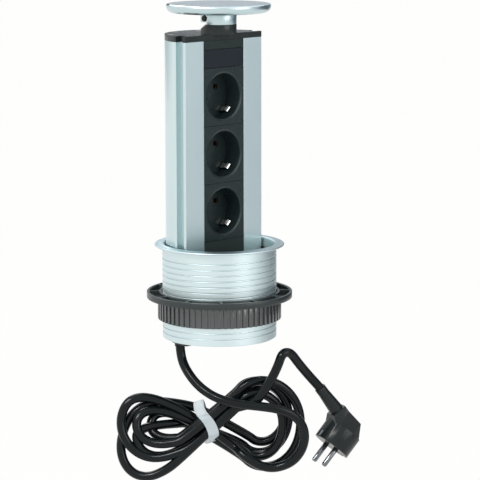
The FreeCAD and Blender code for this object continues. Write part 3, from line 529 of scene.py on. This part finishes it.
# %% Round the edges of the loaded pieces
edge_radii = {
    "column_profile": 0.00035, "filler_strip": 0.0003, "label_plate": 0.0003,
    "blank_module": 0.0003, "top_end_cap": 0.0005, "lower_end_cap": 0.0006,
    "lid_neck": 0.0003, "lid_disc": 0.0002, "release_button": 0.0004,
    "clamp_ring": 0.0004, "ring_nut": 0.0003, "guide_left": 0.0003, "guide_right": 0.0003,
    "socket_front_1": 0.0003, "socket_front_2": 0.0003, "socket_front_3": 0.0003,
    "earth_clip_1": 0.0002, "earth_clip_2": 0.0002, "earth_clip_3": 0.0002,
    "cord_grip": 0.0005, "plug_body": 0.0008, "plug_pins": 0.0003,
}
for name, radius in edge_radii.items():
    weld = nodes[name].modifiers.new("weld", "WELD")
    weld.merge_threshold = 0.00001
    bevel = nodes[name].modifiers.new("edge_rounding", "BEVEL")
    bevel.width = radius
    bevel.segments = 2
    bevel.limit_method = "ANGLE"
    bevel.angle_limit = math.radians(32)
    bevel.use_clamp_overlap = True
    bevel.harden_normals = True
print("pieces with rounded edges:", len(edge_radii))

# %% [markdown]
# ## Tools for the finishes
#
# Every finish is a Principled shader with a few procedural textures behind it. Plain values go
# straight onto the shader. The textures add what a single value can't: fine lines, moulded grain
# and small changes of colour and gloss. All of them are measured in metres on the object itself.

# %% Tools for the finishes
def start_finish(name, colour, roughness, metallic=0.0, **extra):
    """New material with a Principled shader; returns the material, its tree and the shader."""
    material = bpy.data.materials.new(name)
    material.use_nodes = True
    tree = material.node_tree
    shader = tree.nodes["Principled BSDF"]
    shader.inputs["Base Color"].default_value = (*colour, 1)
    shader.inputs["Roughness"].default_value = roughness
    shader.inputs["Metallic"].default_value = metallic
    for key, value in extra.items():
        shader.inputs[key.replace("_", " ")].default_value = value
    return material, tree, shader


def texture_noise(tree, scale, stretch=(1, 1, 1), detail=3.0):
    """Noise over the object, in features per metre, stretched by a factor along each axis."""
    place = tree.nodes.new("ShaderNodeTexCoord")
    mapping = tree.nodes.new("ShaderNodeMapping")
    mapping.inputs["Scale"].default_value = stretch
    noise = tree.nodes.new("ShaderNodeTexNoise")
    noise.inputs["Scale"].default_value = scale
    noise.inputs["Detail"].default_value = detail
    tree.links.new(place.outputs["Object"], mapping.inputs["Vector"])
    tree.links.new(mapping.outputs["Vector"], noise.inputs["Vector"])
    return noise.outputs["Fac"]


def spread(tree, value, low, high):
    """Maps the middle of a noise to a range of numbers."""
    node = tree.nodes.new("ShaderNodeMapRange")
    node.inputs["From Min"].default_value = 0.3
    node.inputs["From Max"].default_value = 0.7
    node.inputs["To Min"].default_value = low
    node.inputs["To Max"].default_value = high
    tree.links.new(value, node.inputs["Value"])
    return node.outputs["Result"]


def add_bump(tree, shader, value, strength, depth):
    """Small relief of the given depth in metres, on top of any relief added before."""
    bump = tree.nodes.new("ShaderNodeBump")
    bump.inputs["Strength"].default_value = strength
    bump.inputs["Distance"].default_value = depth
    tree.links.new(value, bump.inputs["Height"])
    if shader.inputs["Normal"].is_linked:
        tree.links.new(shader.inputs["Normal"].links[0].from_socket, bump.inputs["Normal"])
    tree.links.new(bump.outputs["Normal"], shader.inputs["Normal"])


def vary_colour(tree, shader, value, other):
    """Blends the shader's own colour towards another one where the value is high."""
    mix = tree.nodes.new("ShaderNodeMix")
    mix.data_type = "RGBA"
    own = next(socket for socket in mix.inputs if socket.name == "A" and socket.type == "RGBA")
    own.default_value = shader.inputs["Base Color"].default_value
    if shader.inputs["Base Color"].is_linked:
        tree.links.new(shader.inputs["Base Color"].links[0].from_socket, own)
    mix.inputs["B"].default_value = (*other, 1)
    tree.links.new(value, mix.inputs["Factor"])
    tree.links.new(mix.outputs["Result"], shader.inputs["Base Color"])


def facing_up(tree):
    """How far a surface looks up: 1 for a level one, 0 for an upright one."""
    place = tree.nodes.new("ShaderNodeTexCoord")
    split = tree.nodes.new("ShaderNodeSeparateXYZ")
    tree.links.new(place.outputs["Normal"], split.inputs["Vector"])
    return split.outputs["Z"]


def vary_gloss(tree, shader, value, low, high):
    """Lets the roughness follow a value between two limits."""
    tree.links.new(spread(tree, value, low, high), shader.inputs["Roughness"])


finishes = {}

# %% [markdown]
# ## Aluminium
#
# The column is extruded and anodised, so its fine lines run upright. The barrel is turned on a
# lathe, so its lines run round it, and its level faces get painted shade, a darker colour. The lid
# is spun: its lines are circles about the middle. Its upper face is polished almost to a mirror,
# and a painted highlight makes its colour brighter than its rim.

# %% Aluminium finishes
column_metal, tree, shader = start_finish("anodised_profile", (0.68, 0.80, 0.81), 0.34, 1.0,
                                          Anisotropic=0.5)
lines = texture_noise(tree, 2400, (1, 1, 0.012), 4)
vary_gloss(tree, shader, lines, 0.31, 0.37)
add_bump(tree, shader, lines, 0.1, 0.00003)
cloud = texture_noise(tree, 9, (1, 1, 0.4))
vary_colour(tree, shader, spread(tree, cloud, 0, 1), (0.64, 0.76, 0.78))
finishes["column_aluminium"] = column_metal

barrel_metal, tree, shader = start_finish("turned_barrel", (0.70, 0.81, 0.82), 0.42, 1.0)
lines = texture_noise(tree, 2600, (0.01, 0.01, 1), 4)
vary_gloss(tree, shader, lines, 0.38, 0.46)
add_bump(tree, shader, lines, 0.12, 0.00003)
vary_colour(tree, shader, spread(tree, texture_noise(tree, 14), 0, 1), (0.66, 0.77, 0.79))
# painted shade: the level faces of the barrel and collar take a darker colour
vary_colour(tree, shader, spread(tree, facing_up(tree), 0, 1), (0.40, 0.50, 0.54))
finishes["barrel_aluminium"] = barrel_metal

lid_metal, tree, shader = start_finish("spun_lid", (0.58, 0.70, 0.72), 0.12, 1.0)
place = tree.nodes.new("ShaderNodeTexCoord")
flatten = tree.nodes.new("ShaderNodeVectorMath")
flatten.operation = "MULTIPLY"
flatten.inputs[1].default_value = (1, 1, 0)
radius_of = tree.nodes.new("ShaderNodeVectorMath")
radius_of.operation = "LENGTH"
circles = tree.nodes.new("ShaderNodeTexNoise")
circles.noise_dimensions = "1D"
circles.inputs["Scale"].default_value = 2500
circles.inputs["Detail"].default_value = 3
tree.links.new(place.outputs["Object"], flatten.inputs[0])
tree.links.new(flatten.outputs["Vector"], radius_of.inputs[0])
tree.links.new(radius_of.outputs["Value"], circles.inputs["W"])
add_bump(tree, shader, circles.outputs["Fac"], 0.04, 0.00001)
# painted highlight: the lid's upper face takes a brighter colour than its rim
vary_colour(tree, shader, spread(tree, facing_up(tree), 0, 1), (0.74, 0.88, 0.94))
vary_gloss(tree, shader, facing_up(tree), 0.32, 0.05)
finishes["lid_aluminium"] = lid_metal
print("metals:", sorted(finishes))

# %% [markdown]
# ## Plastics and rubber
#
# The black parts are moulded. A glass-filled clamp is duller than a cap, and the recesses of the
# sockets are glossy, because their mould is polished. A grain of a fraction of a millimetre and a
# slow change of gloss keep these surfaces from looking like one flat colour.

# %% Plastics and rubber
def moulded(name, colour, roughness, grain, depth, other, specular=0.5):
    """Moulded plastic with a fine grain and a slow change of colour and gloss."""
    material, tree, shader = start_finish(name, colour, roughness, Specular_IOR_Level=specular)
    cloud = texture_noise(tree, 35, detail=4)
    vary_gloss(tree, shader, cloud, roughness * 0.85, roughness * 1.15)
    vary_colour(tree, shader, spread(tree, cloud, 0, 1), other)
    add_bump(tree, shader, texture_noise(tree, grain, detail=2), 0.4, depth)
    return material


finishes["clamp_plastic"] = moulded("clamp_plastic", (0.020, 0.029, 0.029), 0.34, 2200, 0.00002,
                                    (0.016, 0.023, 0.023))
nut_plastic = moulded("nut_plastic", (0.016, 0.023, 0.024), 0.26, 2200, 0.00001,
                      (0.012, 0.018, 0.019))
nut_plastic.node_tree.nodes["Principled BSDF"].inputs["IOR"].default_value = 2.0
finishes["guide_plastic"] = moulded("guide_plastic", (0.012, 0.013, 0.014), 0.40, 2600, 0.00003,
                                    (0.017, 0.018, 0.019), 0.3)
finishes["cap_plastic"] = moulded("cap_plastic", (0.018, 0.024, 0.025), 0.28, 2400, 0.00003,
                                  (0.014, 0.019, 0.020), 0.35)
finishes["panel_plastic"] = moulded("panel_plastic", (0.020, 0.031, 0.030), 0.45, 2600, 0.00004,
                                    (0.016, 0.026, 0.026), 0.25)
finishes["socket_plastic"] = moulded("socket_plastic", (0.018, 0.029, 0.030), 0.28, 2600, 0.00002,
                                     (0.014, 0.024, 0.025), 0.3)
finishes["inner_plastic"] = moulded("inner_plastic", (0.020, 0.021, 0.023), 0.5, 1800, 0.00004,
                                    (0.015, 0.016, 0.017), 0.3)
finishes["button_plastic"] = moulded("button_plastic", (0.008, 0.008, 0.009), 0.30, 3000, 0.00002,
                                     (0.012, 0.012, 0.013), 0.3)
finishes["brake_rubber"] = moulded("brake_rubber", (0.025, 0.024, 0.023), 0.75, 1500, 0.00008,
                                   (0.034, 0.033, 0.031))
finishes["plug_rubber"] = moulded("plug_rubber", (0.006, 0.010, 0.011), 0.30, 2000, 0.00003,
                                  (0.010, 0.015, 0.016), 0.3)
finishes["band_plastic"] = moulded("band_plastic", (0.50, 0.56, 0.58), 0.45, 900, 0.00006,
                                   (0.44, 0.50, 0.53))
finishes["cord_rubber"] = moulded("cord_rubber", (0.003, 0.005, 0.006), 0.16, 1600, 0.00002,
                                  (0.005, 0.008, 0.009), 0.22)
label_film = moulded("label_film", (0.012, 0.018, 0.026), 0.35, 2600, 0.00002,
                     (0.010, 0.015, 0.022), 0.25)
print("finishes so far:", len(finishes))

# %% [markdown]
# ## Small metal parts
#
# The earth clips are nickel plated and bright. The plug's pins are plated too, but they take a
# darker copy of that nickel colour, painted shade for the dark surroundings that they mirror. The
# contacts behind them are brass, darkened to painted shade inside the socket holes, and the screws
# are zinc plated steel. They are small, so a soft change of gloss is enough detail.

# %% Small metal parts
def plated(name, colour, low, high):
    """Plated metal whose gloss changes softly, with faint drawing lines."""
    material, tree, shader = start_finish(name, colour, low, 1.0)
    vary_gloss(tree, shader, texture_noise(tree, 260, detail=4), low, high)
    add_bump(tree, shader, texture_noise(tree, 3000, (1, 0.1, 1)), 0.2, 0.00001)
    return material


finishes["clip_steel"] = plated("nickel_clip", (0.80, 0.79, 0.77), 0.12, 0.26)
# painted shade: the pins take a darker copy of the nickel colour
finishes["pin_steel"] = plated("nickel_pin_painted_shade", (0.20, 0.21, 0.22), 0.10, 0.22)
# painted shade: the brass is darkened so that the socket holes look dark
finishes["contact_brass"] = plated("contact_brass", (0.24, 0.19, 0.12), 0.30, 0.45)
finishes["screw_steel"] = plated("zinc_screw", (0.62, 0.63, 0.62), 0.22, 0.38)
print("finishes:", len(finishes))

# %% [markdown]
# ## Giving out the finishes
#
# The record of the object says which finish each loaded piece takes. The new pieces were told their
# own, so both kinds can be dressed in one pass. Three pieces differ a little from the others of
# their kind: a film makes the label plate bluer and glossier, the nut's knurls are polished by
# hands, and the plug's earth contacts take the pins' darker colour, which is painted shade.

# %% Give out the finishes
# the plug's earth contacts take the pins' painted-shade finish
own_finishes = {"label_plate": label_film, "ring_nut": nut_plastic,
                "plug_earth_contacts": finishes["pin_steel"]}
slot_of = {part["node"]: part["material_slot"] for part in frame["record"]["subparts"]}
for name, node in nodes.items():
    node.data.materials.clear()
    node.data.materials.append(own_finishes.get(name, finishes[slot_of[name]]))
for piece in (cord, barrel, band, relief):
    piece.data.materials.append(finishes[piece["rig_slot"]])
print("dressed:", len(nodes), "loaded pieces and 4 new ones")

# %% [markdown]
# ## How the cord hangs
#
# The plug, its strain relief and the band go with it. It hangs in its hank from the column, and
# nothing lies under it.

# %% [markdown]
# ## Floor and background
#
# The photograph shows the object free on white. The floor lies well below the cord, and it and the
# world look plain white to the camera and in reflections. To matt surfaces the world is dimmer, so
# that the lamps can still give them form.

# %% Floor and world
floor_height = -0.45
floor_half = 30
square = ((-1, -1), (1, -1), (1, 1), (-1, 1))
bm = bmesh.new()
corners = [bm.verts.new((x * floor_half, y * floor_half, floor_height)) for x, y in square]
bm.faces.new(corners)
floor_mesh = bpy.data.meshes.new("floor")
bm.to_mesh(floor_mesh)
bm.free()
floor = bpy.data.objects.new("floor", floor_mesh)
bpy.context.scene.collection.objects.link(floor)


def seen_directly(tree):
    """1 for rays from the camera and for reflected and refracted ones, else 0."""
    path = tree.nodes.new("ShaderNodeLightPath")
    total = path.outputs["Is Camera Ray"]
    for name in ("Is Glossy Ray", "Is Transmission Ray"):
        add = tree.nodes.new("ShaderNodeMath")
        add.operation = "ADD"
        add.use_clamp = True
        tree.links.new(total, add.inputs[0])
        tree.links.new(path.outputs[name], add.inputs[1])
        total = add.outputs["Value"]
    return total


floor_finish, tree, shader = start_finish("floor_white", (0.82, 0.82, 0.82), 0.9)
glow = tree.nodes.new("ShaderNodeEmission")
glow.inputs["Color"].default_value = (1.0, 0.998, 0.992, 1)
share = tree.nodes.new("ShaderNodeMath")
share.operation = "MULTIPLY"
share.inputs[1].default_value = 0.98
blend_floor = tree.nodes.new("ShaderNodeMixShader")
tree.links.new(seen_directly(tree), share.inputs[0])
tree.links.new(share.outputs["Value"], blend_floor.inputs["Fac"])
tree.links.new(shader.outputs["BSDF"], blend_floor.inputs[1])
tree.links.new(glow.outputs["Emission"], blend_floor.inputs[2])
tree.links.new(blend_floor.outputs["Shader"], tree.nodes["Material Output"].inputs["Surface"])
floor_mesh.materials.append(floor_finish)

world = bpy.data.worlds.new("studio")
world.use_nodes = True
bpy.context.scene.world = world
tree = world.node_tree
soft_light = tree.nodes["Background"]
soft_light.inputs["Color"].default_value = (0.96, 0.98, 1.0, 1)
soft_light.inputs["Strength"].default_value = 0.55
white = tree.nodes.new("ShaderNodeBackground")
white.inputs["Color"].default_value = (1.0, 0.998, 0.992, 1)
white.inputs["Strength"].default_value = 1.0
blend_world = tree.nodes.new("ShaderNodeMixShader")
tree.links.new(seen_directly(tree), blend_world.inputs["Fac"])
tree.links.new(soft_light.outputs["Background"], blend_world.inputs[1])
tree.links.new(white.outputs["Background"], blend_world.inputs[2])
tree.links.new(blend_world.outputs["Shader"], tree.nodes["World Output"].inputs["Surface"])
print("floor at", floor_height)

# %% [markdown]
# ## Lamps and flags
#
# A large lamp at the upper left gives the object its form, and a small one beside it adds the
# sharper highlights. A third fills in from the right, and the last lights the edges from behind.
# Polished metal also shows what stands round it. So a few cards, the photographer's flags, are put
# where it mirrors them. They are kept out of the picture and cast no shadow.

# %% Lamps and flags
def add_lamp(name, place, size, energy, aim=Vector((0, 0, 0.05))):
    """Soft square lamp that looks at the object."""
    data = bpy.data.lights.new(name, "AREA")
    data.size = size
    data.energy = energy
    lamp = bpy.data.objects.new(name, data)
    bpy.context.scene.collection.objects.link(lamp)
    lamp.location = place
    lamp.rotation_euler = (aim - place).to_track_quat("-Z", "Y").to_euler()


add_lamp("key_lamp", in_plane(-1.1, 1.3, 1.1), 0.6, 21)
add_lamp("spark_lamp", in_plane(-0.6, 1.1, 1.4), 0.22, 5)
add_lamp("fill_lamp", in_plane(1.3, 0.5, 1.0), 1.0, 7)
add_lamp("rim_lamp", in_plane(-0.6, 1.2, -1.4), 0.8, 10)

flag_dark = start_finish("flag_dark", (0.05, 0.055, 0.065), 0.9)[0]
flag_grey = start_finish("flag_grey", (0.11, 0.13, 0.15), 0.9)[0]
flag_mid = start_finish("flag_mid", (0.55, 0.59, 0.62), 0.9)[0]
flag_light = start_finish("flag_light", (0.66, 0.69, 0.72), 0.9)[0]


def add_flag(name, place, width, height, finish, aim=Vector((0, 0, 0.05))):
    """Card that only shows in reflections, to give the metal its darker side."""
    bm = bmesh.new()
    corners = [bm.verts.new((x * width / 2, y * height / 2, 0)) for x, y in square]
    bm.faces.new(corners)
    mesh = bpy.data.meshes.new(name)
    bm.to_mesh(mesh)
    bm.free()
    mesh.materials.append(finish)
    flag = bpy.data.objects.new(name, mesh)
    bpy.context.scene.collection.objects.link(flag)
    flag.location = place
    flag.rotation_euler = (aim - place).to_track_quat("-Z", "Y").to_euler()
    flag.visible_camera = False
    flag.visible_diffuse = False
    flag.visible_shadow = False


add_flag("flag_right", in_plane(1.6, 0.2, 0.14), 0.75, 1.8, flag_light)
add_flag("flag_far_right", in_plane(1.3, 0.2, -0.95), 1.7, 1.8, flag_grey)
add_flag("flag_back", in_plane(0, 0.5, -1.9), 4.0, 0.8, flag_mid)
add_flag("flag_back_left", in_plane(-0.33, 0.5, -1.6), 0.54, 0.3, flag_dark)
add_flag("flag_slim", in_plane(0.5, -0.02, 1.5), 0.3, 0.25, flag_mid)
bpy.context.scene.view_settings.view_transform = "Standard"
print("lamps and flags are set")
